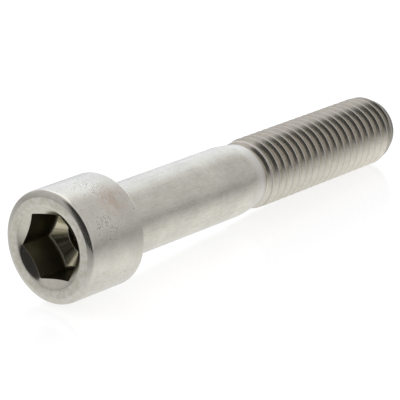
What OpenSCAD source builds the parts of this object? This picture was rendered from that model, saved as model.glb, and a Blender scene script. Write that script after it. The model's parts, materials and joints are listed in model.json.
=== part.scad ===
// Socket head cap screw, M12 x 70 with a plain shank and a rolled end thread.
// It lies as it comes to rest: on the rear rim of its head and on the end of its thread, tip towards +X.
// All lengths are in millimetres and all angles in degrees.

/* [Head] */
// Diameter of the cylindrical head
head_d = 18; // [16.5:0.1:20]
// Height of the head, from its face to the bearing face
head_h = 11.8; // [11:0.1:12.5]
// Width of the front edge, measured on the face
front_edge_w = 1.05; // [0.6:0.05:1.4]
// Height of the front edge, measured on the side
front_edge_h = 1; // [0.7:0.1:1.4]
// Slope at which the front edge leaves the face
front_edge_slope = 17; // [12:1:24]
// Radius of the rear rim of the head
rear_edge_r = 0.4; // [0.2:0.05:0.8]

/* [Hex socket] */
// Width of the socket across its flats
hex_af = 10.1; // [9:0.05:10.4]
// Depth of the socket at its corners
hex_depth = 6.1; // [5:0.1:6.5]
// Angle from straight up to the first socket corner
hex_turn = 19.4; // [0:0.1:60]
// Diameter of the countersink on the face
countersink_d = 13; // [12.2:0.1:14]
// Included angle of the countersink and of the socket floor
cone_angle = 120; // [100:5:130]
// Diameter of the pilot hole in the socket floor
pilot_d = 6; // [4:0.1:7]
// Depth of the pilot hole's wall below the face
pilot_depth = 8.6; // [8.2:0.1:9]

/* [Shank] */
// Diameter of the plain shank
shank_d = 11.84; // [11.6:0.01:12]
// Length under the head, from the bearing face to the tip
length = 70; // [60:1:120]
// Radius of the fillet between the shank and the bearing face
fillet_r = 0.6; // [0.3:0.1:0.9]
// Diameter of the neck between the shank and the thread
neck_d = 10.88; // [10.4:0.01:11.2]
// Length of the taper from the shank down to the neck
neck_taper = 3.2; // [2:0.1:5]

/* [Thread] */
// Diameter over the thread crests
thread_d = 11.8; // [11.6:0.01:12]
// Diameter over the floor of the thread groove
root_d = 9.85; // [9.6:0.01:10]
// Axial distance from one crest to the next
pitch = 1.75; // [1.5:0.25:1.75]
// Length of the thread, from the neck to the tip
thread_length = 36.5; // [25:0.5:45]
// Length over which the crests rise out of the neck
run_up = 2.6; // [1.75:0.05:4]
// Length over which the groove sinks in from the neck
run_in = 1.75; // [0.5:0.05:3]
// Length of the tapered point
point_length = 2.36; // [1.5:0.02:3]
// Diameter of the flat end of the point
point_d = 9.6; // [8.5:0.1:9.6]
// Angle from straight up at which the first crest starts
thread_turn = 7.5; // [0:0.5:359]

/* [Hidden] */

steel = "#b8b5ae";
clear = 0.1;
arc_step = 10;

head_r = head_d / 2;
shank_r = shank_d / 2;
thread_r = thread_d / 2;
neck_r = neck_d / 2;
point_r = point_d / 2;
pilot_r = pilot_d / 2;
root_r = root_d / 2;
corner_r = hex_af / sqrt(3);
countersink_r = countersink_d / 2;
cone_slope = tan(cone_angle / 2);

// Stations along the axis, from the bearing face towards the tip
face_z = -head_h;
neck_z = length - thread_length;
shank_end_z = neck_z - neck_taper;
crest_start_z = neck_z + run_up;
crest_end_z = length - point_length;

// Section of the thread ridge along the axis: its crest is an eighth of the pitch wide
flank_angle = 30;
flank_w = (thread_r - root_r) * tan(flank_angle);
crest_w = pitch / 8;
ridge_offsets = [0, crest_w, crest_w + flank_w, pitch - flank_w];

// The ridge starts sunk into the neck, and its steps put a flat, not a corner, under the resting screw
ridge_steps = 24;
ridge_sink = 0.04;
ridge_z = neck_z - pitch / 4;
ridge_angle = 180 + thread_turn;
ridge_turns = floor((length - ridge_z - clear) / pitch) - 1;
core_r = root_r - 1;

// The screw lies on two points: the rear rim of the head and the last full crest
rest_tilt = atan((head_r - thread_r) / (crest_end_z + rear_edge_r));
rest_lift = head_r * cos(rest_tilt) - rear_edge_r * sin(rest_tilt);
lowest_x = face_z * cos(rest_tilt) - (head_r - front_edge_w) * sin(rest_tilt);
highest_x = length * cos(rest_tilt) + point_r * sin(rest_tilt);

// Points of an elliptical arc about [r, z], with half axes w and h, between two angles
function arc(r, z, w, h, from, to) =
    let (step = from < to ? arc_step : -arc_step)
    [for (t = [from : step : to]) [r + w * cos(t), z + h * sin(t)]];

// Front edge of the head: it leaves the face at a slope and curves into the side, the fuller the tighter
edge_steps = 12;
edge_fullness = 2.5;
edge_start = [head_r - front_edge_w, face_z];
edge_turn = [head_r, face_z + front_edge_w * tan(front_edge_slope)];
edge_end = [head_r, face_z + front_edge_h];
front_edge = [
    for (i = [0 : edge_steps])
        let (t = i / edge_steps)
        let (a = (1 - t) * (1 - t), b = 2 * edge_fullness * t * (1 - t), c = t * t)
        (a * edge_start + b * edge_turn + c * edge_end) / (a + b + c)
];

// Half section of the screw before its socket is cut, as [radius, axial station]
blank_profile = concat(
    [[0, face_z]],
    front_edge,
    arc(head_r - rear_edge_r, -rear_edge_r, rear_edge_r, rear_edge_r, 0, 90),
    arc(shank_r + fillet_r, fillet_r, fillet_r, fillet_r, 270, 180),
    [
        [shank_r, shank_end_z],
        [neck_r, neck_z],
        [core_r, neck_z],
        [core_r, crest_start_z],
        [0, crest_start_z],
    ]
);

// Forged body: head, shank, neck and a core that the thread winds round
module blank() {
    rotate_extrude($fn = 96) polygon(blank_profile);
}

// Radius of the crests at station z: they rise out of the neck and sink into the point
function crest_r(z) = lookup(z, [
    [neck_z, neck_r - ridge_sink],
    [crest_start_z, thread_r],
    [crest_end_z, thread_r],
    [length, point_r],
]);

// Radius of the groove floor at station z
function floor_r(z) = min(crest_r(z), lookup(z, [[neck_z, neck_r - ridge_sink], [neck_z + run_in, root_r]]));

// Corner k of the ridge's section, i steps along the helix: crest start, crest end, floor start, floor end
function ridge_point(i, k) =
    let (z = ridge_z + pitch * i / ridge_steps + ridge_offsets[k])
    let (r = k < 2 ? crest_r(z) : floor_r(z))
    let (a = ridge_angle + 360 * i / ridge_steps)
    [r * cos(a), r * sin(a), z];

// Point j of a flat ring that closes the thread at one end
function ring_point(j, r, z) =
    let (a = ridge_angle + 360 * j / ridge_steps)
    [r * cos(a), r * sin(a), z];

// Thread with one start: a ridge wound round the core, closed by a flat ring at each end
module thread() {
    n = ridge_steps;
    last = n * ridge_turns;
    corners = len(ridge_offsets);
    points = concat(
        [for (i = [0 : last], k = [0 : corners - 1]) ridge_point(i, k)],
        [for (i = [last + 1 : last + n]) ridge_point(i, 0)],
        [for (j = [0 : n - 1]) ring_point(j, neck_r - ridge_sink, ridge_z - ridge_sink)],
        [for (j = [0 : n - 1]) ring_point(j, point_r, length)]
    );
    first_ring = corners * (last + 1) + n;
    last_ring = first_ring + n;

    // Index of corner k at step i, where the corner after the last is the next turn's first
    function at(i, k) =
        k == corners ? at(i + n, 0)
        : i <= last ? i * corners + k
        : corners * (last + 1) + i - last - 1;
    // The ridge's section at step i, from its own crest to the next turn's
    function section(i) = [for (k = [0 : corners]) at(i, k)];

    sides = [
        for (i = [0 : last - 1], k = [0 : corners - 1])
            each [[at(i, k), at(i + 1, k + 1), at(i + 1, k)], [at(i, k), at(i, k + 1), at(i + 1, k + 1)]]
    ];
    foot = [
        for (j = [0 : n - 2])
            each [
                [first_ring + j, at(j + 1, 0), first_ring + j + 1],
                [first_ring + j, at(j, 0), at(j + 1, 0)],
            ]
    ];
    head = [
        for (j = [1 : n - 1])
            each [
                [at(last + j, 0), last_ring + j, at(last + j + 1, 0)],
                [last_ring + j, last_ring + (j + 1) % n, at(last + j + 1, 0)],
            ]
    ];
    // The last panel of each ring meets the ridge's cut end, so it is a fan
    foot_chain = concat([first_ring], section(0), [at(n - 1, 0)]);
    foot_fan = [for (c = [0 : len(foot_chain) - 2]) [first_ring + n - 1, foot_chain[c + 1], foot_chain[c]]];
    head_chain = concat(section(last), [last_ring, last_ring + 1]);
    head_fan = [for (c = [0 : len(head_chain) - 2]) [at(last + 1, 0), head_chain[c], head_chain[c + 1]]];
    caps = [
        [for (j = [0 : n - 1]) first_ring + j],
        [for (j = [n - 1 : -1 : 0]) last_ring + j],
    ];
    polyhedron(points, concat(sides, foot, foot_fan, head, head_fan, caps));
}

// Countersink that leads the key into the socket
module countersink() {
    mouth_r = countersink_r + clear * cone_slope;
    translate([0, 0, face_z - clear]) cylinder(h = mouth_r / cone_slope, r1 = mouth_r, r2 = 0, $fn = 96);
}

// Hexagon with a conical floor, deepest towards its middle
module hexagon() {
    hex_h = hex_depth + clear;
    cone_h = corner_r / cone_slope;
    translate([0, 0, face_z - clear]) intersection() {
        rotate([0, 0, hex_turn]) cylinder(h = hex_h + cone_h, r = corner_r, $fn = 6);
        rotate_extrude($fn = 96) polygon([
            [0, 0],
            [corner_r + clear, 0],
            [corner_r + clear, hex_h - clear / cone_slope],
            [0, hex_h + cone_h],
        ]);
    }
}

// Drilled pilot hole with a drill-point end
module pilot_hole() {
    translate([0, 0, face_z + hex_depth]) cylinder(h = pilot_depth - hex_depth, r = pilot_r, $fn = 96);
    translate([0, 0, face_z + pilot_depth]) cylinder(h = pilot_r / cone_slope, r1 = pilot_r, r2 = 0, $fn = 96);
}

// The whole screw along its own axis, bearing face at zero and tip upwards
module screw() {
    difference() {
        union() {
            blank();
            thread();
        }
        countersink();
        hexagon();
        pilot_hole();
    }
}

// The screw as it lies on a level surface
module cap_screw() {
    color(steel)
        translate([-(lowest_x + highest_x) / 2, 0, rest_lift])
            rotate([0, 90 + rest_tilt, 0]) screw();
}

cap_screw();
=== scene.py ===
"""Looks of an M12 x 70 socket head cap screw in stainless steel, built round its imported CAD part.

The screw is one piece of metal, so it is one closed mesh. Rings turned about the screw's axis make the
socket, the head, the shank and the end face, and a Geometry Nodes strip wound round the same axis makes the
thread.

Lengths are in millimetres unless a name says otherwise. A station is a place along the screw's axis, counted
from the bearing face under the head towards the tip, so the head lies at negative stations. An angle round
the axis is counted from straight up, right-handed about the direction from head to tip.
"""

import json
import logging
import math
from dataclasses import dataclass, field
from enum import Enum
from typing import Any

import bmesh
import bpy
import numpy as np
from mathutils import Matrix, Vector

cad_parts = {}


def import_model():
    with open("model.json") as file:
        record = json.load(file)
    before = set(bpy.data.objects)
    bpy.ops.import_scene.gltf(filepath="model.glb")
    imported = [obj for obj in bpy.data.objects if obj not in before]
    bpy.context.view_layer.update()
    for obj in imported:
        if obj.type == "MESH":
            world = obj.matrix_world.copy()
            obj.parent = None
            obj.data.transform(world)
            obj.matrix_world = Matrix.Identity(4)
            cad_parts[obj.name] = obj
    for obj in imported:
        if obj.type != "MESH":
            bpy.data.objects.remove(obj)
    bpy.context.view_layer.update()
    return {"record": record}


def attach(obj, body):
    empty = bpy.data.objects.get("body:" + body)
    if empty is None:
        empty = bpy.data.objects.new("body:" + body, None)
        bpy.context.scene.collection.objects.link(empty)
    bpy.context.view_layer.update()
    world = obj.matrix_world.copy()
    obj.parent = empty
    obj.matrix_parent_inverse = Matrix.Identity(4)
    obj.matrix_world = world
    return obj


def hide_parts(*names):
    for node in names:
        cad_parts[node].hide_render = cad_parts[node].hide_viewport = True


LOG = logging.getLogger("cap_screw")
MM = 0.001
COLUMNS = 180
WELD_M = 2e-6
SHARP_ANGLE = math.radians(38)
ZONE_LAYER = "zone"
ZONE_TOLERANCE = 0.5
ROUND_ARC = math.sqrt(0.5)
FLANK_RUN = math.tan(math.radians(30))
ONE_QUAD = [(0, 1, 2, 3)]
SECOND_BOUNCE = 2

# Sockets of the Mix node, whose numbers and colours go by the same names
MIX_SHARE = 0
MIX_A = 2
MIX_B = 3
MIX_COLOUR_A = 6
MIX_COLOUR_B = 7
MIX_COLOUR_OUT = 2

# How the flat strip of the thread is wound: each row names a value, the sum that gives it, and what goes in
THREAD_FORMULAS: tuple[tuple[str | float, ...], ...] = (
    ("Strip columns", "MULTIPLY_ADD", "Turns", "Columns", 1.0),
    ("Strip rows", "ADD", "Rows", 1.0),
    ("Half length", "DIVIDE", "Turns", 2.0),
    ("Turn", "ADD", "Flat X", "Half length"),
    ("Across", "ADD", "Flat Y", 0.5),
    # Station of each point, held between the neck and the end of the screw
    ("Climb", "ADD", "Turn", "Across"),
    ("Climbed", "MULTIPLY_ADD", "Climb", "Pitch", "Strip start"),
    ("From neck on", "MAXIMUM", "Climbed", "Neck station"),
    ("Station", "MINIMUM", "From neck on", "End station"),
    # Section of the ridge: 60 degree flanks, a crest an eighth of the pitch wide and a rounded root
    ("Off middle", "ABSOLUTE", "Flat Y"),
    ("Off crest", "MULTIPLY", "Off middle", "Pitch"),
    ("Depth", "SUBTRACT", "Crest radius", "Root radius"),
    ("Half crest", "DIVIDE", "Pitch", 16.0),
    ("Flank foot", "MULTIPLY_ADD", "Depth", FLANK_RUN, "Half crest"),
    ("To foot", "SUBTRACT", "Flank foot", "Off crest"),
    ("Flank", "DIVIDE", "To foot", FLANK_RUN),
    ("Above root", "SMOOTH_MAX", "Flank", 0.0, "Root rounding"),
    ("Ridge", "ADD", "Root radius", "Above root"),
    ("Section", "SMOOTH_MIN", "Ridge", "Crest radius", "Crest rounding"),
    # Crests that rise out of the neck, and a groove that sinks in from it
    ("Past neck", "SUBTRACT", "Station", "Neck station"),
    ("Crest rise", "SUBTRACT", "Crest radius", "Neck radius"),
    ("Crest slope", "DIVIDE", "Crest rise", "Run-up"),
    ("Rising crest", "MULTIPLY_ADD", "Past neck", "Crest slope", "Neck radius"),
    ("Groove drop", "SUBTRACT", "Root radius", "Neck radius"),
    ("Groove slope", "DIVIDE", "Groove drop", "Run-in"),
    ("Sinking groove", "MULTIPLY_ADD", "Past neck", "Groove slope", "Neck radius"),
    # Tapered point
    ("Left to end", "SUBTRACT", "End station", "Station"),
    ("Point drop", "SUBTRACT", "Crest radius", "Point radius"),
    ("Point slope", "DIVIDE", "Point drop", "Point length"),
    ("Point cone", "MULTIPLY_ADD", "Left to end", "Point slope", "Point radius"),
    ("Risen ridge", "MINIMUM", "Section", "Rising crest"),
    ("Pointed ridge", "MINIMUM", "Risen ridge", "Point cone"),
    ("Least radius", "MINIMUM", "Sinking groove", "Point cone"),
    ("Radius", "MAXIMUM", "Pointed ridge", "Least radius"),
    # Place of each point round the axis
    ("Angle", "MULTIPLY_ADD", "Turn", math.tau, "First angle"),
    ("Sine", "SINE", "Angle"),
    ("Cosine", "COSINE", "Angle"),
    ("To the right", "MULTIPLY", "Radius", "Sine"),
    ("Sideways", "MULTIPLY", "To the right", -1.0),
    ("Upwards", "MULTIPLY", "Radius", "Cosine"),
)


def linear(code: str) -> tuple[float, float, float, float]:
    """Turn an sRGB hex colour into linear light.

    Args:
        code: The colour as "#rrggbb".

    Returns:
        Red, green, blue and an alpha of 1.
    """
    channels = [int(code[i : i + 2], 16) / 255 for i in (1, 3, 5)]
    light = [c / 12.92 if c <= 0.04045 else ((c + 0.055) / 1.055) ** 2.4 for c in channels]
    return light[0], light[1], light[2], 1.0


def add_node(
    tree: bpy.types.NodeTree, kind: str, inputs: dict | tuple = (), **settings: Any
) -> bpy.types.Node:
    """Add a node with its settings, its values and its links.

    Args:
        tree: The node tree that takes the node.
        kind: The node's type name.
        inputs: What goes into the node, in the order of its sockets, or by a socket's name or index. Each is
            a value, the socket that feeds it, or a node whose first output feeds it.
        **settings: Properties of the node itself.

    Returns:
        The new node.
    """
    node = tree.nodes.new(kind)
    for name, value in settings.items():
        setattr(node, name, value)
    pairs = inputs.items() if isinstance(inputs, dict) else enumerate(inputs)
    for key, value in pairs:
        source = value.outputs[0] if isinstance(value, bpy.types.Node) else value
        if isinstance(source, bpy.types.NodeSocket):
            tree.links.new(source, node.inputs[key])
        else:
            node.inputs[key].default_value = source
    return node


def blank_material(name: str) -> bpy.types.Material:
    """Make a material with an empty node tree.

    Args:
        name: The material's name.

    Returns:
        The material.
    """
    material = bpy.data.materials.new(name)
    material.use_nodes = True
    material.node_tree.nodes.clear()
    return material


class Zone(Enum):
    """How a stretch of the surface was made, as the value of the mesh's zone attribute."""

    FORGED_SIDE = 0
    DIE_FACE = 1
    COUNTERSINK = 2
    # The socket's walls, painted dark as shade in the recess
    SOCKET_WALL_PAINTED_SHADE = 3
    SOCKET_FLOOR = 4
    DRAWN_SHANK = 5
    ROLLED_THREAD = 6
    CUT_END = 7
    TUMBLED_EDGE = 8
    ROLLED_CREST = 9


# A ring's radius and station in every column, and the zone of the strip that leads to it
Ring = tuple[np.ndarray, Zone]

# A node tree's input names, each with its socket type and value
Sockets = dict[str, tuple[str, float | int]]


@dataclass(frozen=True)
class Corner:
    """A corner of the turned profile, its rounding, and the zone of the surface from there on.

    The rounding reaches equally far to both sides, unless reach_after says otherwise, and the fuller it is,
    the closer it keeps to the corner. A rounding with a zone of its own names it as edge.
    """

    radius: np.ndarray
    station: np.ndarray
    zone: Zone
    reach: float = 0.0
    steps: int = 0
    reach_after: float | None = None
    fullness: float = ROUND_ARC
    edge: Zone | None = None


@dataclass(frozen=True)
class Placement:
    """Where the screw lies: the middle of its bearing face, in metres, and the dip of its axis to the tip."""

    bearing: Vector
    dip: float

    @classmethod
    def from_record(cls, record: dict, head_height: float) -> "Placement":
        """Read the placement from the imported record.

        Args:
            record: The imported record.
            head_height: Height of the head.

        Returns:
            The placement of the CAD part.
        """
        mount = next(m for m in record["mounts"] if m["name"] == "hex_socket")
        along = -Vector(mount["axis"]).normalized()
        bearing = Vector(mount["pos_m"]) + along * head_height * MM
        return cls(bearing, math.atan2(-along.z, along.x))

    def matrix(self) -> Matrix:
        """Give the matrix from the screw lying level at the origin to its place, in metres."""
        return Matrix.Translation(self.bearing) @ Matrix.Rotation(self.dip, 4, "Y")


@dataclass
class HexSocket:
    """Countersunk hexagon with a conical floor and a drilled pilot hole."""

    across_flats: float = 10.1
    corner_angle: float = math.radians(19.4)
    corner_round: float = 0.35
    depth: float = 6.1
    cone_half_angle: float = math.radians(60)
    mouth_r: float = 6.5
    mouth_round: float = 0.3
    mouth_steps: int = 6
    rim_round: float = 0.06
    rim_steps: int = 3
    floor_round: float = 0.45
    floor_steps: int = 6
    pilot_r: float = 3.0
    pilot_depth: float = 8.6
    pilot_round: float = 0.12
    pilot_steps: int = 4
    pilot_end_steps: int = 3

    @property
    def corner_r(self) -> float:
        """Radius of the hexagon's sharp corners."""
        return self.across_flats / math.sqrt(3)

    def wall_radius(self, angles: np.ndarray) -> np.ndarray:
        """Give the radius of the hexagon's wall, with its corners rounded.

        Args:
            angles: Angles round the axis, in radians.

        Returns:
            The wall's radius at each angle.
        """
        sixth = math.pi / 3
        off_corner = np.abs((angles - self.corner_angle + sixth / 2) % sixth - sixth / 2)
        flat = self.across_flats / 2 / np.cos(sixth / 2 - off_corner)
        centre = (self.across_flats / 2 - self.corner_round) / math.cos(sixth / 2)
        under_root = np.maximum(self.corner_round**2 - (centre * np.sin(off_corner)) ** 2, 0)
        arc = centre * np.cos(off_corner) + np.sqrt(under_root)
        touch_across = self.corner_round * math.sin(sixth / 2)
        touch_out = centre + self.corner_round * math.cos(sixth / 2)
        return np.where(off_corner < math.atan2(touch_across, touch_out), arc, flat)

    def corners(self, angles: np.ndarray, face: float) -> list[Corner]:
        """List the socket's profile from the bottom of the pilot hole to the head's face.

        Args:
            angles: Angles round the axis, in radians.
            face: Station of the head's face.

        Returns:
            The profile's corners.
        """
        slope = math.tan(self.cone_half_angle)
        same = np.ones_like(angles)
        wall = self.wall_radius(angles)
        floor = face + self.depth + (self.corner_r - wall) / slope
        rim = face + (self.mouth_r - wall) / slope
        pilot = self.pilot_r * same
        pilot_rim = (face + self.depth + (self.corner_r - self.pilot_r) / slope) * same
        pilot_end = (face + self.pilot_depth) * same
        apex = pilot_end + self.pilot_r / slope
        mouth = self.mouth_r * same
        # The socket's walls, the pilot hole and the roundings at the floor and rim take a dark colour:
        # painted shade in the recess
        painted_shade_wall = Zone.SOCKET_WALL_PAINTED_SHADE
        edge = Zone.TUMBLED_EDGE
        return [
            Corner(0 * same, apex, painted_shade_wall),
            Corner(pilot, pilot_end, painted_shade_wall, self.pilot_round, self.pilot_end_steps),
            Corner(pilot, pilot_rim, Zone.SOCKET_FLOOR, self.pilot_round, self.pilot_steps, edge=edge),
            Corner(wall, floor, painted_shade_wall, self.floor_round, self.floor_steps, edge=painted_shade_wall),
            Corner(wall, rim, Zone.COUNTERSINK, self.rim_round, self.rim_steps, edge=painted_shade_wall),
            Corner(mouth, face * same, Zone.DIE_FACE, self.mouth_round, self.mouth_steps),
        ]


@dataclass
class Head:
    """Cylindrical head with a sloped front edge that curves into its side, and a small rear rim."""

    radius: float = 9.0
    height: float = 11.8
    front_edge_w: float = 1.05
    front_edge_h: float = 1.0
    front_edge_slope: float = math.radians(17)
    front_edge_fullness: float = 2.5
    front_edge_steps: int = 14
    face_round: float = 0.1
    face_steps: int = 3
    rear_edge_r: float = 0.4
    rear_edge_steps: int = 6

    def corners(self, angles: np.ndarray) -> list[Corner]:
        """List the head's profile from the edge of its face to the bearing face.

        Args:
            angles: Angles round the axis, in radians.

        Returns:
            The profile's corners.
        """
        same = np.ones_like(angles)
        face = -self.height
        rise = self.front_edge_w * math.tan(self.front_edge_slope)
        inner = (self.radius - self.front_edge_w) * same
        outer = self.radius * same
        side = Zone.FORGED_SIDE
        edge = Zone.TUMBLED_EDGE
        return [
            Corner(inner, face * same, edge, self.face_round, self.face_steps),
            Corner(
                outer,
                (face + rise) * same,
                side,
                self.front_edge_w / math.cos(self.front_edge_slope) - self.face_round,
                self.front_edge_steps,
                self.front_edge_h - rise,
                self.front_edge_fullness,
                edge,
            ),
            Corner(outer, 0 * same, side, self.rear_edge_r, self.rear_edge_steps, edge=edge),
        ]


@dataclass
class Shank:
    """Plain shank with a fillet under the head and a rounded shoulder above the neck."""

    radius: float = 5.92
    fillet_r: float = 0.6
    fillet_steps: int = 6
    end_station: float = 30.3
    shoulder_reach: float = 1.2
    shoulder_steps: int = 8
    neck_r: float = 5.44
    neck_station: float = 33.5

    def corners(self, angles: np.ndarray) -> list[Corner]:
        """List the shank's profile from the bearing face to the neck.

        Args:
            angles: Angles round the axis, in radians.

        Returns:
            The profile's corners.
        """
        same = np.ones_like(angles)
        shank = self.radius * same
        drawn = Zone.DRAWN_SHANK
        return [
            Corner(shank, 0 * same, drawn, self.fillet_r, self.fillet_steps),
            Corner(shank, self.end_station * same, drawn, self.shoulder_reach, self.shoulder_steps),
            Corner(self.neck_r * same, self.neck_station * same, drawn),
        ]


@dataclass
class RolledThread:
    """Right-hand metric thread, rolled: a strip one pitch wide that winds from the neck to the tip.

    A groove passes straight above the axis at groove_station. A face is a crest where it lies beyond
    crest_from and its normal points outwards by crest_level.
    """

    pitch: float = 1.75
    crest_r: float = 5.9
    root_r: float = 4.925
    crest_round: float = 0.15
    root_round: float = 0.3
    groove_station: float = 35.761
    run_up: float = 2.6
    run_in: float = 1.75
    point_length: float = 2.36
    point_r: float = 4.8
    end_station: float = 70.0
    crest_from: float = 5.3
    crest_level: float = 0.8
    rows: int = 16
    end_rings: int = 3

    def inputs(self, shank: Shank, first_angle: float) -> Sockets:
        """Work out the named inputs of the thread's node tree.

        Args:
            shank: The shank that the thread follows.
            first_angle: Angle of the first column of the mesh, in radians.

        Returns:
            Input name to its socket type and value, lengths in metres.
        """
        groove = self.groove_station + self.pitch * first_angle / math.tau
        turns_back = math.ceil((groove - shank.neck_station) / self.pitch) + 1
        start = groove - self.pitch * turns_back
        turns = math.ceil((self.end_station - start) / self.pitch) + 1
        lengths = {
            "Pitch": self.pitch,
            "Crest radius": self.crest_r,
            "Root radius": self.root_r,
            "Crest rounding": self.crest_round,
            "Root rounding": self.root_round,
            "Neck radius": shank.neck_r,
            "Point radius": self.point_r,
            "Strip start": start,
            "Neck station": shank.neck_station,
            "Run-up": self.run_up,
            "Run-in": self.run_in,
            "Point length": self.point_length,
            "End station": self.end_station,
        }
        sockets = {name: ("NodeSocketFloat", value * MM) for name, value in lengths.items()}
        sockets["First angle"] = ("NodeSocketFloat", first_angle)
        sockets["Turns"] = ("NodeSocketInt", turns)
        sockets["Columns"] = ("NodeSocketInt", COLUMNS)
        sockets["Rows"] = ("NodeSocketInt", self.rows)
        return sockets

    def tree(self, names: Sockets, steel: bpy.types.Material) -> bpy.types.NodeTree:
        """Build the node tree that winds a flat strip into the thread.

        Args:
            names: Input name to its socket type and value.
            steel: Material of the thread.

        Returns:
            The node tree, with the inputs as its interface.
        """
        tree = bpy.data.node_groups.new("rolled_thread", "GeometryNodeTree")
        for name, (kind, _) in names.items():
            tree.interface.new_socket(name, in_out="INPUT", socket_type=kind)
        tree.interface.new_socket("Geometry", in_out="OUTPUT", socket_type="NodeSocketGeometry")
        given = add_node(tree, "NodeGroupInput")
        flat = add_node(tree, "ShaderNodeSeparateXYZ", (add_node(tree, "GeometryNodeInputPosition"),))
        values = {name: given.outputs[name] for name in names}
        values["Flat X"] = flat.outputs["X"]
        values["Flat Y"] = flat.outputs["Y"]
        for name, operation, *terms in THREAD_FORMULAS:
            given_terms = tuple(values.get(term, term) for term in terms)
            sum_node = add_node(tree, "ShaderNodeMath", given_terms, operation=operation, label=name)
            values[name] = sum_node.outputs[0]

        strip = add_node(
            tree,
            "GeometryNodeMeshGrid",
            {
                "Size X": values["Turns"],
                "Size Y": 1.0,
                "Vertices X": values["Strip columns"],
                "Vertices Y": values["Strip rows"],
            },
        )
        place = add_node(
            tree, "ShaderNodeCombineXYZ", (values["Station"], values["Sideways"], values["Upwards"])
        )
        wound = add_node(tree, "GeometryNodeSetPosition", {"Geometry": strip, "Position": place})
        welded = add_node(tree, "GeometryNodeMergeByDistance", {"Geometry": wound, "Distance": WELD_M})
        realized = add_node(tree, "GeometryNodeRealizeInstances", {"Geometry": welded})
        dressed = add_node(tree, "GeometryNodeSetMaterial", {"Geometry": realized, "Material": steel})
        add_node(tree, "NodeGroupOutput", {"Geometry": dressed})
        return tree

    def build(self, shank: Shank, first_angle: float, steel: bpy.types.Material) -> bpy.types.Mesh:
        """Make the thread's mesh, open at the neck and at the tip.

        Args:
            shank: The shank that the thread follows.
            first_angle: Angle of the first column of the mesh, in radians.
            steel: Material of the thread.

        Returns:
            The mesh, along the X axis, in metres.
        """
        names = self.inputs(shank, first_angle)
        holder = bpy.data.objects.new("thread_strip", bpy.data.meshes.new("thread_strip"))
        bpy.context.scene.collection.objects.link(holder)
        modifier = holder.modifiers.new("rolled_thread", "NODES")
        modifier.node_group = self.tree(names, steel)
        for item in modifier.node_group.interface.items_tree:
            if item.in_out == "INPUT":
                modifier[item.identifier] = names[item.name][1]
        graph = bpy.context.evaluated_depsgraph_get()
        mesh = bpy.data.meshes.new_from_object(holder.evaluated_get(graph), depsgraph=graph)
        holder.modifiers.remove(modifier)
        bpy.data.objects.remove(holder)
        return mesh

    def mark_zones(self, mesh: bmesh.types.BMesh) -> None:
        """Give each face of the thread its zone: crest, or flank and root.

        Args:
            mesh: The thread alone, along the X axis, in metres.
        """
        layer = mesh.faces.layers.float.new(ZONE_LAYER)
        for face in mesh.faces:
            outward = face.calc_center_median() * Vector((0, 1, 1))
            level = abs(face.normal.dot(outward.normalized())) > self.crest_level
            crest = level and outward.length > self.crest_from * MM
            face[layer] = (Zone.ROLLED_CREST if crest else Zone.ROLLED_THREAD).value


@dataclass(frozen=True)
class ZoneFinish:
    """How one zone departs from the satin skin: the colour of its metal, and its roughness."""

    metal: str
    roughness: float


@dataclass(frozen=True)
class SteelTree:
    """The steel's node tree, with what its patterns share.

    It holds the screw's own coordinates in millimetres, the station and the turn round the axis that they
    give, and a mask of each zone.
    """

    tree: bpy.types.NodeTree
    own: bpy.types.Node
    station: bpy.types.NodeSocket
    turn: bpy.types.Node
    within: dict[Zone, bpy.types.Node]

    @classmethod
    def begin(cls, tree: bpy.types.NodeTree, placement: Placement) -> "SteelTree":
        """Add the coordinates along the screw's axis and the masks.

        Args:
            tree: The empty node tree.
            placement: Where the screw lies.

        Returns:
            The tree with its shared nodes.
        """
        own = add_node(
            tree,
            "ShaderNodeMapping",
            {
                "Vector": add_node(tree, "ShaderNodeTexCoord").outputs["Object"],
                "Location": placement.bearing,
                "Rotation": (0.0, placement.dip, 0.0),
                "Scale": (MM, MM, MM),
            },
            vector_type="TEXTURE",
        )
        place = add_node(tree, "ShaderNodeSeparateXYZ", (own,)).outputs
        turn = add_node(tree, "ShaderNodeMath", (place["Y"], place["Z"]), operation="ARCTAN2")
        zone = add_node(tree, "ShaderNodeAttribute", attribute_name=ZONE_LAYER).outputs["Fac"]
        within = {
            kind: add_node(tree, "ShaderNodeMath", (zone, kind.value, ZONE_TOLERANCE), operation="COMPARE")
            for kind in Zone
        }
        return cls(tree, own, place["X"], turn, within)


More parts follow.
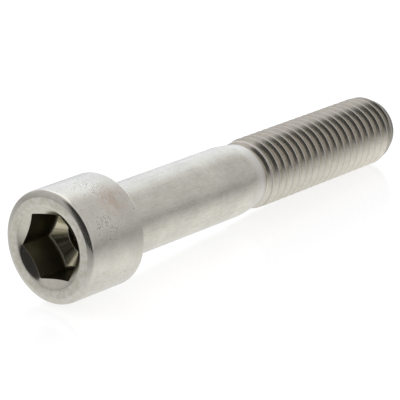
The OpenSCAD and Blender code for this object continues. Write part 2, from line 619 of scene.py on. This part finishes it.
@dataclass(frozen=True)
class TumbledStainless:
    """A2 stainless steel, cold forged, thread rolled and tumbled.

    Tumbling leaves a satin skin that blurs reflections, with faint mottling. The die leaves the head's face
    duller and more mottled, and fine pits stay on the head's side where the die was worn. Faint lines run
    along the drawn shank, and the shoulder is duller, with a paler colour that is a painted highlight. The
    socket's walls are painted dark, a painted shade in the recess, and the punch leaves radial tears on its
    floor. The point is painted darker too, as shade.

    A span is the stretch of a noise's values over which a mark grows from none to full.
    """

    light_steel: str = "#d8d7cc"
    grey_steel: str = "#cac8be"
    cloud_mm: float = 7.0
    cloud_detail: float = 5.0
    cloud_span: tuple[float, float] = (0.35, 0.65)

    mottle_tone: str = "#ebe9e2"
    mottle_mm: float = 0.9
    mottle_detail: float = 4.0
    mottle_roughness: float = 0.6
    mottle_span: tuple[float, float] = (0.38, 0.62)
    mottle_off_face: float = 0.4

    # Real grain and drawing lines are finer: these are as coarse as they need to be to show
    roughness: float = 0.25
    grain_mm: float = 0.22
    grain_roughness: float = 0.05
    grain_span: tuple[float, float] = (0.3, 0.7)
    streak_tone: str = "#efeeea"
    line_mm: float = 0.2
    line_length_mm: float = 3.0
    line_span: tuple[float, float] = (0.5, 0.75)
    line_share: float = 0.5
    fine_detail: float = 3.0
    skin_depth_mm: float = 0.03
    skin_strength: float = 0.15

    pit_tone: str = "#86827c"
    pit_spacing_mm: float = 0.26
    pit_r_mm: float = 0.1
    pit_core: float = 0.5
    pit_depth_mm: float = 0.05
    pit_strength: float = 0.6
    pit_patches: tuple[tuple[float, float, float], ...] = ((-5.3, -1.85, 8.8), (-7.2, -7.65, 4.7))
    pit_patch_mm: tuple[float, float] = (1.0, 3.4)
    pit_share: float = 0.5
    pit_scatter: float = 0.02

    tear_tone: str = "#aeaa9a"
    tear_mm: float = 1.3
    tear_r_mm: float = 5.05
    tear_detail: float = 2.0
    tear_span: tuple[float, float] = (0.42, 0.6)

    warm_stain: str = "#f3e0d8"
    stain_middle: tuple[float, float, float] = (-3.8, -5.2, 7.35)
    stain_r_mm: float = 3.4
    stain_patch_mm: float = 1.2
    stain_span: tuple[float, float] = (0.4, 0.6)

    # The shoulder's paler colour is a painted highlight; its roughness gives its duller finish
    painted_shoulder_highlight: str = "#d8d7d0"
    shoulder_roughness: float = 0.42
    shoulder_from: tuple[float, float] = (31.1, 32.3)
    shoulder_to: tuple[float, float] = (33.2, 34.4)

    # The metal is painted darker towards the point: painted shade
    point_shade_tone: str = "#a4a29e"
    point_shade_from: tuple[float, float] = (67.2, 69.2)

    zone_finishes: tuple[tuple[Zone, ZoneFinish], ...] = (
        (Zone.DIE_FACE, ZoneFinish("#e2e0d6", 0.3)),
        (Zone.COUNTERSINK, ZoneFinish("#cdcabe", 0.16)),
        (Zone.SOCKET_FLOOR, ZoneFinish("#dad4ba", 0.2)),
        # Dark socket walls: painted shade in the recess, over a rougher finish
        (Zone.SOCKET_WALL_PAINTED_SHADE, ZoneFinish("#848072", 0.3)),
        (Zone.ROLLED_THREAD, ZoneFinish("#d1cdc2", 0.24)),
        (Zone.ROLLED_CREST, ZoneFinish("#bcb8b0", 0.45)),
        (Zone.TUMBLED_EDGE, ZoneFinish("#d0cec5", 0.17)),
    )

    def build(self, placement: Placement) -> bpy.types.Material:
        """Make the material.

        Args:
            placement: Where the screw lies, so that the patterns follow its axis.

        Returns:
            The material.
        """
        material = blank_material("tumbled_stainless_steel")
        tree = material.node_tree
        steel = SteelTree.begin(tree, placement)
        stretch = (1 / self.line_length_mm, 1 / self.line_mm, 1 / self.line_mm)
        drawn = add_node(tree, "ShaderNodeMapping", {"Vector": steel.own, "Scale": stretch})
        lines = add_node(
            tree, "ShaderNodeTexNoise", {"Vector": drawn, "Scale": 1.0, "Detail": self.fine_detail}
        )
        grain = add_node(
            tree,
            "ShaderNodeTexNoise",
            {"Vector": steel.own, "Scale": 1 / self.grain_mm, "Detail": self.fine_detail},
        )
        pits = self.pits(steel)
        shoulder = self.shoulder(steel)

        fine = add_node(tree, "ShaderNodeMath", (lines, self.line_share, grain), operation="MULTIPLY_ADD")
        skin = add_node(
            tree,
            "ShaderNodeBump",
            {"Strength": self.skin_strength, "Distance": self.skin_depth_mm * MM, "Height": fine},
        )
        sunk = add_node(
            tree,
            "ShaderNodeBump",
            {
                "Strength": self.pit_strength,
                "Distance": self.pit_depth_mm * MM,
                "Height": pits,
                "Normal": skin,
            },
            invert=True,
        )
        shader = add_node(
            tree,
            "ShaderNodeBsdfPrincipled",
            {
                "Base Color": self.colour(steel, lines, pits, shoulder),
                "Metallic": 1.0,
                "Roughness": self.gloss(steel, grain, shoulder),
                "Normal": sunk,
            },
        )
        add_node(tree, "ShaderNodeOutputMaterial", {"Surface": shader})
        return material

    def colour(
        self, steel: SteelTree, lines: bpy.types.Node, pits: bpy.types.Node, shoulder: bpy.types.Node
    ) -> bpy.types.NodeSocket:
        """Colour the metal: clouds, then the zones, then the marks and the painted shade of the point, then
        the shoulder's painted highlight.

        Args:
            steel: The steel's node tree.
            lines: The drawing lines' noise.
            pits: Where the pits are.
            shoulder: Where the shoulder is.

        Returns:
            The colour.
        """
        tree = steel.tree
        streaky = add_node(tree, "ShaderNodeMapRange", (lines, *self.line_span))
        on_shank = steel.within[Zone.DRAWN_SHANK]
        streaks = add_node(tree, "ShaderNodeMath", (streaky, on_shank), operation="MULTIPLY")
        # Painted shade: the metal darkens towards the point
        point_shade = add_node(tree, "ShaderNodeMapRange", (steel.station, *self.point_shade_from))
        marks = (
            (self.mottling(steel), self.mottle_tone),
            (streaks, self.streak_tone),
            (pits, self.pit_tone),
            (self.tears(steel), self.tear_tone),
            (self.stain(steel), self.warm_stain),
            (point_shade, self.point_shade_tone),
        )
        layers = [(steel.within[kind], finish.metal, "MIX") for kind, finish in self.zone_finishes]
        layers += [(share, tone, "MULTIPLY") for share, tone in marks]
        # Painted highlight: the shoulder is coloured paler
        layers.append((shoulder, self.painted_shoulder_highlight, "MIX"))
        colour = self.clouds(steel)
        for share, tone, blend in layers:
            sockets = {MIX_SHARE: share, MIX_COLOUR_A: colour, MIX_COLOUR_B: linear(tone)}
            mixed = add_node(tree, "ShaderNodeMix", sockets, data_type="RGBA", blend_type=blend)
            colour = mixed.outputs[MIX_COLOUR_OUT]
        return colour

    def gloss(self, steel: SteelTree, grain: bpy.types.Node, shoulder: bpy.types.Node) -> bpy.types.Node:
        """Roughen the metal: the grain, then the zones, then the shoulder.

        Args:
            steel: The steel's node tree.
            grain: The grain's noise.
            shoulder: Where the shoulder is.

        Returns:
            The roughness.
        """
        smoothest = self.roughness - self.grain_roughness
        roughest = self.roughness + self.grain_roughness
        rough = add_node(steel.tree, "ShaderNodeMapRange", (grain, *self.grain_span, smoothest, roughest))
        layers = [(steel.within[kind], finish.roughness) for kind, finish in self.zone_finishes]
        layers.append((shoulder, self.shoulder_roughness))
        for share, roughness in layers:
            sockets = {MIX_SHARE: share, MIX_A: rough, MIX_B: roughness}
            rough = add_node(steel.tree, "ShaderNodeMix", sockets)
        return rough

    def clouds(self, steel: SteelTree) -> bpy.types.NodeSocket:
        """Mix slow clouds of lighter and greyer metal, some millimetres wide.

        Args:
            steel: The steel's node tree.

        Returns:
            The metal's colour.
        """
        noise = add_node(
            steel.tree,
            "ShaderNodeTexNoise",
            {"Vector": steel.own, "Scale": 1 / self.cloud_mm, "Detail": self.cloud_detail},
        )
        sockets = {
            MIX_SHARE: add_node(steel.tree, "ShaderNodeMapRange", (noise, *self.cloud_span)),
            MIX_COLOUR_A: linear(self.grey_steel),
            MIX_COLOUR_B: linear(self.light_steel),
        }
        return add_node(steel.tree, "ShaderNodeMix", sockets, data_type="RGBA").outputs[MIX_COLOUR_OUT]

    def mottling(self, steel: SteelTree) -> bpy.types.Node:
        """Place the mottling that tumbling leaves, strongest on the face that the die struck.

        Args:
            steel: The steel's node tree.

        Returns:
            The mottling's strength.
        """
        tree = steel.tree
        noise = add_node(
            tree,
            "ShaderNodeTexNoise",
            {
                "Vector": steel.own,
                "Scale": 1 / self.mottle_mm,
                "Detail": self.mottle_detail,
                "Roughness": self.mottle_roughness,
            },
        )
        mottled = add_node(tree, "ShaderNodeMapRange", (noise, *self.mottle_span))
        on_face = steel.within[Zone.DIE_FACE]
        strength = add_node(tree, "ShaderNodeMapRange", (on_face, 0.0, 1.0, self.mottle_off_face, 1.0))
        return add_node(tree, "ShaderNodeMath", (mottled, strength), operation="MULTIPLY")

    def pits(self, steel: SteelTree) -> bpy.types.Node:
        """Place the pits on the head's side: hollows in some cells of a pattern, more of them in patches.

        Args:
            steel: The steel's node tree.

        Returns:
            The pits' depth, from 0 to 1.
        """
        tree = steel.tree
        cells = add_node(
            tree, "ShaderNodeTexVoronoi", {"Vector": steel.own, "Scale": 1 / self.pit_spacing_mm}
        )
        draw = add_node(tree, "ShaderNodeSeparateColor", (cells.outputs["Color"],))
        size = self.pit_r_mm / self.pit_spacing_mm
        hollow = add_node(tree, "ShaderNodeMapRange", (cells, size * self.pit_core, size, 1.0, 0.0))
        patchy = self.pit_scatter
        for middle in self.pit_patches:
            away = add_node(tree, "ShaderNodeVectorMath", (steel.own, middle), operation="DISTANCE")
            spread = (away.outputs["Value"], *self.pit_patch_mm, self.pit_share, 0.0)
            near = add_node(tree, "ShaderNodeMapRange", spread)
            patchy = add_node(tree, "ShaderNodeMath", (patchy, near), operation="MAXIMUM")
        on_side = steel.within[Zone.FORGED_SIDE]
        worn = add_node(tree, "ShaderNodeMath", (patchy, on_side), operation="MULTIPLY")
        pitted = add_node(tree, "ShaderNodeMath", (draw, worn), operation="LESS_THAN")
        return add_node(tree, "ShaderNodeMath", (hollow, pitted), operation="MULTIPLY")

    def tears(self, steel: SteelTree) -> bpy.types.Node:
        """Place the radial tears that the punch leaves on the socket's floor.

        Args:
            steel: The steel's node tree.

        Returns:
            The tears' strength.
        """
        noise = add_node(
            steel.tree,
            "ShaderNodeTexNoise",
            {"W": steel.turn, "Scale": self.tear_r_mm / self.tear_mm, "Detail": self.tear_detail},
            noise_dimensions="1D",
        )
        ribs = add_node(steel.tree, "ShaderNodeMapRange", (noise, *self.tear_span))
        on_floor = steel.within[Zone.SOCKET_FLOOR]
        return add_node(steel.tree, "ShaderNodeMath", (ribs, on_floor), operation="MULTIPLY")

    def stain(self, steel: SteelTree) -> bpy.types.Node:
        """Place the faint warm stain on top of the head.

        Args:
            steel: The steel's node tree.

        Returns:
            The stain's strength.
        """
        tree = steel.tree
        away = add_node(tree, "ShaderNodeVectorMath", (steel.own, self.stain_middle), operation="DISTANCE")
        fade = (away.outputs["Value"], 0.0, self.stain_r_mm, 1.0, 0.0)
        near = add_node(tree, "ShaderNodeMapRange", fade)
        noise = add_node(
            tree, "ShaderNodeTexNoise", {"Vector": steel.own, "Scale": 1 / self.stain_patch_mm}
        )
        blotted = add_node(tree, "ShaderNodeMapRange", (noise, *self.stain_span))
        return add_node(tree, "ShaderNodeMath", (near, blotted), operation="MULTIPLY")

    def shoulder(self, steel: SteelTree) -> bpy.types.Node:
        """Place the shoulder, which fades into the shank: it is duller, and its paler colour is a painted
        highlight.

        Args:
            steel: The steel's node tree.

        Returns:
            The shoulder's strength.
        """
        tree = steel.tree
        begun = add_node(tree, "ShaderNodeMapRange", (steel.station, *self.shoulder_from))
        ended = add_node(tree, "ShaderNodeMapRange", (steel.station, *self.shoulder_to, 1.0, 0.0))
        return add_node(tree, "ShaderNodeMath", (begun, ended), operation="MULTIPLY")


@dataclass
class CapScrew:
    """The whole screw: socket, head, shank and thread as one closed mesh."""

    socket: HexSocket = field(default_factory=HexSocket)
    head: Head = field(default_factory=Head)
    shank: Shank = field(default_factory=Shank)
    thread: RolledThread = field(default_factory=RolledThread)

    def angles(self) -> np.ndarray:
        """Give the angle of each column, starting at a corner of the socket."""
        return self.socket.corner_angle + np.arange(COLUMNS) * math.tau / COLUMNS

    def body_rings(self) -> list[Ring]:
        """Round the corners of the body's profile, and list its rings from the pilot hole to the neck.

        Returns:
            The rings, the first of them a point on the axis.
        """
        angles = self.angles()
        corners = self.socket.corners(angles, -self.head.height)
        corners += self.head.corners(angles) + self.shank.corners(angles)
        points = [np.stack([c.radius, c.station], axis=1) for c in corners]
        rings = [(points[0], corners[0].zone)]
        for k, corner in enumerate(corners[1:-1], 1):
            here = points[k]
            back = points[k - 1] - here
            ahead = points[k + 1] - here
            reach_after = corner.reach if corner.reach_after is None else corner.reach_after
            start = here + back / np.linalg.norm(back, axis=1, keepdims=True) * corner.reach
            end = here + ahead / np.linalg.norm(ahead, axis=1, keepdims=True) * reach_after
            for t in np.linspace(0, 1, corner.steps + 1):
                weights = ((1 - t) ** 2, 2 * corner.fullness * t * (1 - t), t**2)
                place = (weights[0] * start + weights[1] * here + weights[2] * end) / sum(weights)
                zone = corner.zone if t > 0.5 else corners[k - 1].zone
                rings.append((place, corner.edge if corner.edge and t > 0 else zone))
        rings.append((points[-1], corners[-2].zone))
        return rings

    def end_rings(self) -> list[Ring]:
        """List the rings of the flat end of the point.

        Returns:
            The rings, the first of them a point on the axis.
        """
        same = np.ones(COLUMNS)
        station = self.thread.end_station * same
        radii = np.linspace(0, self.thread.point_r, self.thread.end_rings)
        return [(np.stack([r * same, station], axis=1), Zone.CUT_END) for r in radii]

    def turn(self, mesh: bmesh.types.BMesh, rings: list[Ring]) -> None:
        """Add the surface through a list of rings.

        Args:
            mesh: The mesh that takes the surface, in metres.
            rings: The rings, the first of them a point on the axis.
        """
        angles = self.angles()
        layer = mesh.faces.layers.float[ZONE_LAYER]
        pole = mesh.verts.new((rings[0][0][0, 1] * MM, 0.0, 0.0))
        previous = [pole] * COLUMNS
        for ring, zone in rings[1:]:
            places = zip(ring[:, 1], -ring[:, 0] * np.sin(angles), ring[:, 0] * np.cos(angles))
            current = [mesh.verts.new(Vector(p) * MM) for p in places]
            for j in range(COLUMNS):
                k = (j + 1) % COLUMNS
                quad = dict.fromkeys((previous[j], previous[k], current[k], current[j]))
                mesh.faces.new(quad)[layer] = zone.value
            previous = current

    def build(self, placement: Placement, steel: bpy.types.Material) -> bpy.types.Object:
        """Make the screw where it lies.

        Args:
            placement: Where the screw lies.
            steel: The screw's material.

        Returns:
            The screw's object, at the origin, with its place in its mesh.
        """
        work = bmesh.new()
        work.from_mesh(self.thread.build(self.shank, float(self.angles()[0]), steel))
        self.thread.mark_zones(work)
        self.turn(work, self.body_rings())
        self.turn(work, self.end_rings())
        bmesh.ops.remove_doubles(work, verts=work.verts, dist=WELD_M)
        bmesh.ops.recalc_face_normals(work, faces=work.faces)
        open_edges = sum(1 for e in work.edges if not e.is_manifold)
        LOG.info("cap_screw: %d faces, %d open edges", len(work.faces), open_edges)

        mesh = bpy.data.meshes.new("cap_screw_metal")
        work.to_mesh(mesh)
        work.free()
        mesh.transform(placement.matrix())
        mesh.materials.clear()
        mesh.materials.append(steel)
        mesh.shade_smooth()
        mesh.set_sharp_from_angle(angle=SHARP_ANGLE)
        screw = bpy.data.objects.new("cap_screw_metal", mesh)
        bpy.context.scene.collection.objects.link(screw)
        return screw


@dataclass(frozen=True)
class WallPatch:
    """A round patch on the studio's walls: its middle as seen from the screw, its reach, and its light."""

    azimuth: float
    elevation: float
    inner: float
    outer: float
    colour: str
    level: float

    def towards(self) -> Vector:
        """Give the direction from the screw to the patch's middle."""
        level = math.cos(self.elevation)
        rise = math.sin(self.elevation)
        return Vector((math.cos(self.azimuth) * level, math.sin(self.azimuth) * level, rise))


@dataclass(frozen=True)
class PaintedSheetLight:
    """Painted light and shade on the table's sheet: how its glow changes towards one side, which only the
    metal shows.
    """

    side: float
    from_mm: float
    to_mm: float
    level: float

    def towards(self) -> tuple[float, float, float]:
        """Give the direction in which the light changes."""
        return math.cos(self.side), math.sin(self.side), 0.0


@dataclass
class Studio:
    """White light table between grey walls, with two soft windows behind it and a dark opening before it."""

    floor_size_m: float = 6.0
    floor_paper: str = "#a0a0a0"
    floor_glow: float = 0.88
    steep_glow: float = 0.86
    shallow_glow: float = 0.26
    steep_facing: float = 0.4
    shallow_facing: float = 0.95
    # Painted light and shade on the sheet, seen only in the metal: brighter behind the screw, dimmer on the
    # left
    painted_sheet_light: tuple[PaintedSheetLight, ...] = (
        PaintedSheetLight(math.radians(130), 5.0, 45.0, 0.68),
        PaintedSheetLight(math.radians(45), 8.0, 35.0, 1.35),
        PaintedSheetLight(math.radians(90), 12.0, 40.0, 1.35),
    )
    floor_roughness: float = 0.12
    floor_ior: float = 1.49
    wall_colour: str = "#fffcff"
    horizon_level: float = 0.5
    wall_level: float = 0.65
    ceiling_level: float = 0.8
    wall_foot: float = 0.2
    window: WallPatch = WallPatch(
        math.radians(45), math.radians(12), math.radians(15), math.radians(50), "#f3f6ff", 1.24
    )
    side_window: WallPatch = WallPatch(
        math.radians(12), math.radians(4), math.radians(10), math.radians(24), "#f8faff", 1.4
    )
    opening: WallPatch = WallPatch(
        math.radians(-171), math.radians(18), math.radians(27), math.radians(36), "#ffffff", 0.04
    )
    flag_middle: tuple[float, float] = (-112.0, -12.0)
    flag_width: float = 96.0
    flag_height: float = 8.5
    flag_cloth: str = "#1c1c1c"
    flag_clear: float = 45.0
    lamp_size_m: float = 1.2
    lamp_power_w: float = 2.0
    lamp_place_m: tuple[float, float, float] = (0.3, 0.5, 1.0)

    def build(self) -> None:
        """Make the floor, the world, the flag and the lamp."""
        self.floor()
        self.world()
        self.flag()
        self.lamp()

    def sheet_glow(self, tree: bpy.types.NodeTree) -> bpy.types.Node:
        """Work out how brightly the opal sheet of the table shows in the metal, with its painted light and
        shade.

        Args:
            tree: The sheet's node tree.

        Returns:
            The strength of its light.
        """
        # The sheet glows less at a shallow angle
        facing = add_node(tree, "ShaderNodeLayerWeight").outputs["Facing"]
        turned = (facing, self.steep_facing, self.shallow_facing, self.steep_glow, self.shallow_glow)
        glow = add_node(tree, "ShaderNodeMapRange", turned)

        # Painted light and shade: it is painted brighter behind the screw, below the windows, and dimmer on
        # the left as the camera sees it
        place = add_node(tree, "ShaderNodeTexCoord").outputs["Object"]
        for slope in self.painted_sheet_light:
            reach = add_node(
                tree, "ShaderNodeVectorMath", (place, slope.towards()), operation="DOT_PRODUCT"
            )
            change = (reach.outputs["Value"], slope.from_mm * MM, slope.to_mm * MM, 1.0, slope.level)
            share = add_node(tree, "ShaderNodeMapRange", change)
            glow = add_node(tree, "ShaderNodeMath", (glow, share), operation="MULTIPLY")
        return glow

    def floor(self) -> None:
        """Make the table top, white to the camera and in the metal, with the screw's shadow on it."""
        half = self.floor_size_m / 2
        mesh = bpy.data.meshes.new("light_table")
        outline = [(-half, -half, 0), (half, -half, 0), (half, half, 0), (-half, half, 0)]
        mesh.from_pydata(outline, [], ONE_QUAD)
        material = blank_material("lit_opal_acrylic")
        tree = material.node_tree
        path = add_node(tree, "ShaderNodeLightPath").outputs
        straight = (path["Is Camera Ray"], path["Is Transmission Ray"])
        seen = add_node(tree, "ShaderNodeMath", straight, operation="MAXIMUM")
        direct = add_node(tree, "ShaderNodeMath", (seen, self.floor_glow), operation="MULTIPLY")
        mirrored = (path["Is Glossy Ray"], self.sheet_glow(tree), direct)
        glow = add_node(tree, "ShaderNodeMath", mirrored, operation="MULTIPLY_ADD")
        paper = add_node(tree, "ShaderNodeBsdfDiffuse", {"Color": linear(self.floor_paper)})
        light = add_node(tree, "ShaderNodeEmission", {"Strength": glow})
        opal = add_node(tree, "ShaderNodeAddShader", (paper, light))
        coat = add_node(tree, "ShaderNodeBsdfGlossy", {"Roughness": self.floor_roughness})
        shine = add_node(tree, "ShaderNodeFresnel", {"IOR": self.floor_ior})
        sheet = add_node(tree, "ShaderNodeMixShader", (shine, opal, coat))
        add_node(tree, "ShaderNodeOutputMaterial", {"Surface": sheet})
        mesh.materials.append(material)
        floor = bpy.data.objects.new("light_table", mesh)
        bpy.context.scene.collection.objects.link(floor)

    def world(self) -> None:
        """Make the walls, darker at their foot, with the windows and the opening in them."""
        world = bpy.data.worlds.new("studio_walls")
        world.use_nodes = True
        tree = world.node_tree
        tree.nodes.clear()
        towards = add_node(tree, "ShaderNodeTexCoord").outputs["Generated"]
        height = add_node(tree, "ShaderNodeSeparateXYZ", (towards,)).outputs["Z"]
        lower = (height, 0.0, self.wall_foot, self.horizon_level, self.wall_level)
        foot = add_node(tree, "ShaderNodeMapRange", lower)
        upper = (height, self.wall_foot, 1.0, foot, self.ceiling_level)
        level = add_node(tree, "ShaderNodeMapRange", upper)
        colour = linear(self.wall_colour)
        for patch in (self.window, self.side_window, self.opening):
            facing = add_node(
                tree, "ShaderNodeVectorMath", (towards, patch.towards()), operation="DOT_PRODUCT"
            )
            edge = (facing.outputs["Value"], math.cos(patch.outer), math.cos(patch.inner))
            inside = add_node(tree, "ShaderNodeMapRange", edge, interpolation_type="SMOOTHSTEP")
            level = add_node(tree, "ShaderNodeMix", {MIX_SHARE: inside, MIX_A: level, MIX_B: patch.level})
            sockets = {MIX_SHARE: inside, MIX_COLOUR_A: colour, MIX_COLOUR_B: linear(patch.colour)}
            colour = add_node(tree, "ShaderNodeMix", sockets, data_type="RGBA").outputs[MIX_COLOUR_OUT]
        light = add_node(tree, "ShaderNodeBackground", {"Color": colour, "Strength": level})
        add_node(tree, "ShaderNodeOutputWorld", {"Surface": light})
        bpy.context.scene.world = world

    def flag(self) -> None:
        """Stand a low black flag before the head, which only the metal shows: a painted dark reflection,
        which casts no shadow and lights nothing.
        """
        mesh = bpy.data.meshes.new("black_flag")
        half = self.flag_width / 2
        outline = [(0, -half, 0), (0, half, 0), (0, half, self.flag_height), (0, -half, self.flag_height)]
        mesh.from_pydata([Vector(p) * MM for p in outline], [], ONE_QUAD)
        bearing = math.atan2(self.flag_middle[1], self.flag_middle[0])
        middle = Vector((*self.flag_middle, 0)) * MM
        mesh.transform(Matrix.Translation(middle) @ Matrix.Rotation(bearing, 4, "Z"))
        material = blank_material("black_flag_cloth")
        tree = material.node_tree
        cloth = add_node(tree, "ShaderNodeBsdfDiffuse", {"Color": linear(self.flag_cloth)})

        # The table's coat beside the flag doesn't mirror it to the camera
        path = add_node(tree, "ShaderNodeLightPath").outputs
        short = (path["Ray Length"], self.flag_clear * MM)
        beside = add_node(tree, "ShaderNodeMath", short, operation="LESS_THAN")
        first = add_node(tree, "ShaderNodeMath", (path["Ray Depth"], SECOND_BOUNCE), operation="LESS_THAN")
        hidden = add_node(tree, "ShaderNodeMath", (beside, first), operation="MULTIPLY")
        clear = add_node(tree, "ShaderNodeBsdfTransparent")
        shown = add_node(tree, "ShaderNodeMixShader", (hidden, cloth, clear))
        add_node(tree, "ShaderNodeOutputMaterial", {"Surface": shown})
        mesh.materials.append(material)
        flag = bpy.data.objects.new("black_flag", mesh)
        flag.visible_camera = False
        flag.visible_diffuse = False
        flag.visible_shadow = False
        bpy.context.scene.collection.objects.link(flag)

    def lamp(self) -> None:
        """Hang one large soft lamp over the table."""
        data = bpy.data.lights.new("soft_lamp", "AREA")
        data.shape = "DISK"
        data.size = self.lamp_size_m
        data.energy = self.lamp_power_w
        lamp = bpy.data.objects.new("soft_lamp", data)
        lamp.location = self.lamp_place_m
        lamp.rotation_euler = (-Vector(self.lamp_place_m)).to_track_quat("-Z", "Y").to_euler()
        lamp.visible_camera = False
        bpy.context.scene.collection.objects.link(lamp)


@dataclass
class PhotoCamera:
    """Camera where the photograph was taken from."""

    azimuth: float = math.radians(-50.10)
    elevation: float = math.radians(21.84)
    distance: float = 421.0
    aim: tuple[float, float, float] = (-3.27, 1.65, 5.36)
    lens_mm: float = 234.5
    clip_start_m: float = 0.01

    def build(self) -> None:
        """Make the camera and give it to the scene."""
        level = math.cos(self.elevation)
        rise = math.sin(self.elevation)
        back = Vector((math.sin(self.azimuth) * level, -math.cos(self.azimuth) * level, rise))
        data = bpy.data.cameras.new("photo_camera")
        data.lens = self.lens_mm
        data.clip_start = self.clip_start_m
        camera = bpy.data.objects.new("photo_camera", data)
        camera.location = (Vector(self.aim) + back * self.distance) * MM
        camera.rotation_euler = (-back).to_track_quat("-Z", "Y").to_euler()
        bpy.context.scene.collection.objects.link(camera)
        bpy.context.scene.camera = camera


def main() -> None:
    """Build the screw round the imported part, and the studio round the screw."""
    logging.basicConfig(level=logging.INFO, format="%(message)s")
    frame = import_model()
    bpy.context.scene.view_settings.view_transform = "Standard"

    screw = CapScrew()
    placement = Placement.from_record(frame["record"], screw.head.height)
    steel = TumbledStainless().build(placement)
    piece = screw.build(placement, steel)
    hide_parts("cap_screw")
    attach(piece, "root")
    LOG.info("%s rides on root and stands for cap_screw", piece.name)

    PhotoCamera().build()
    Studio().build()


if __name__ == "__main__":
    main()
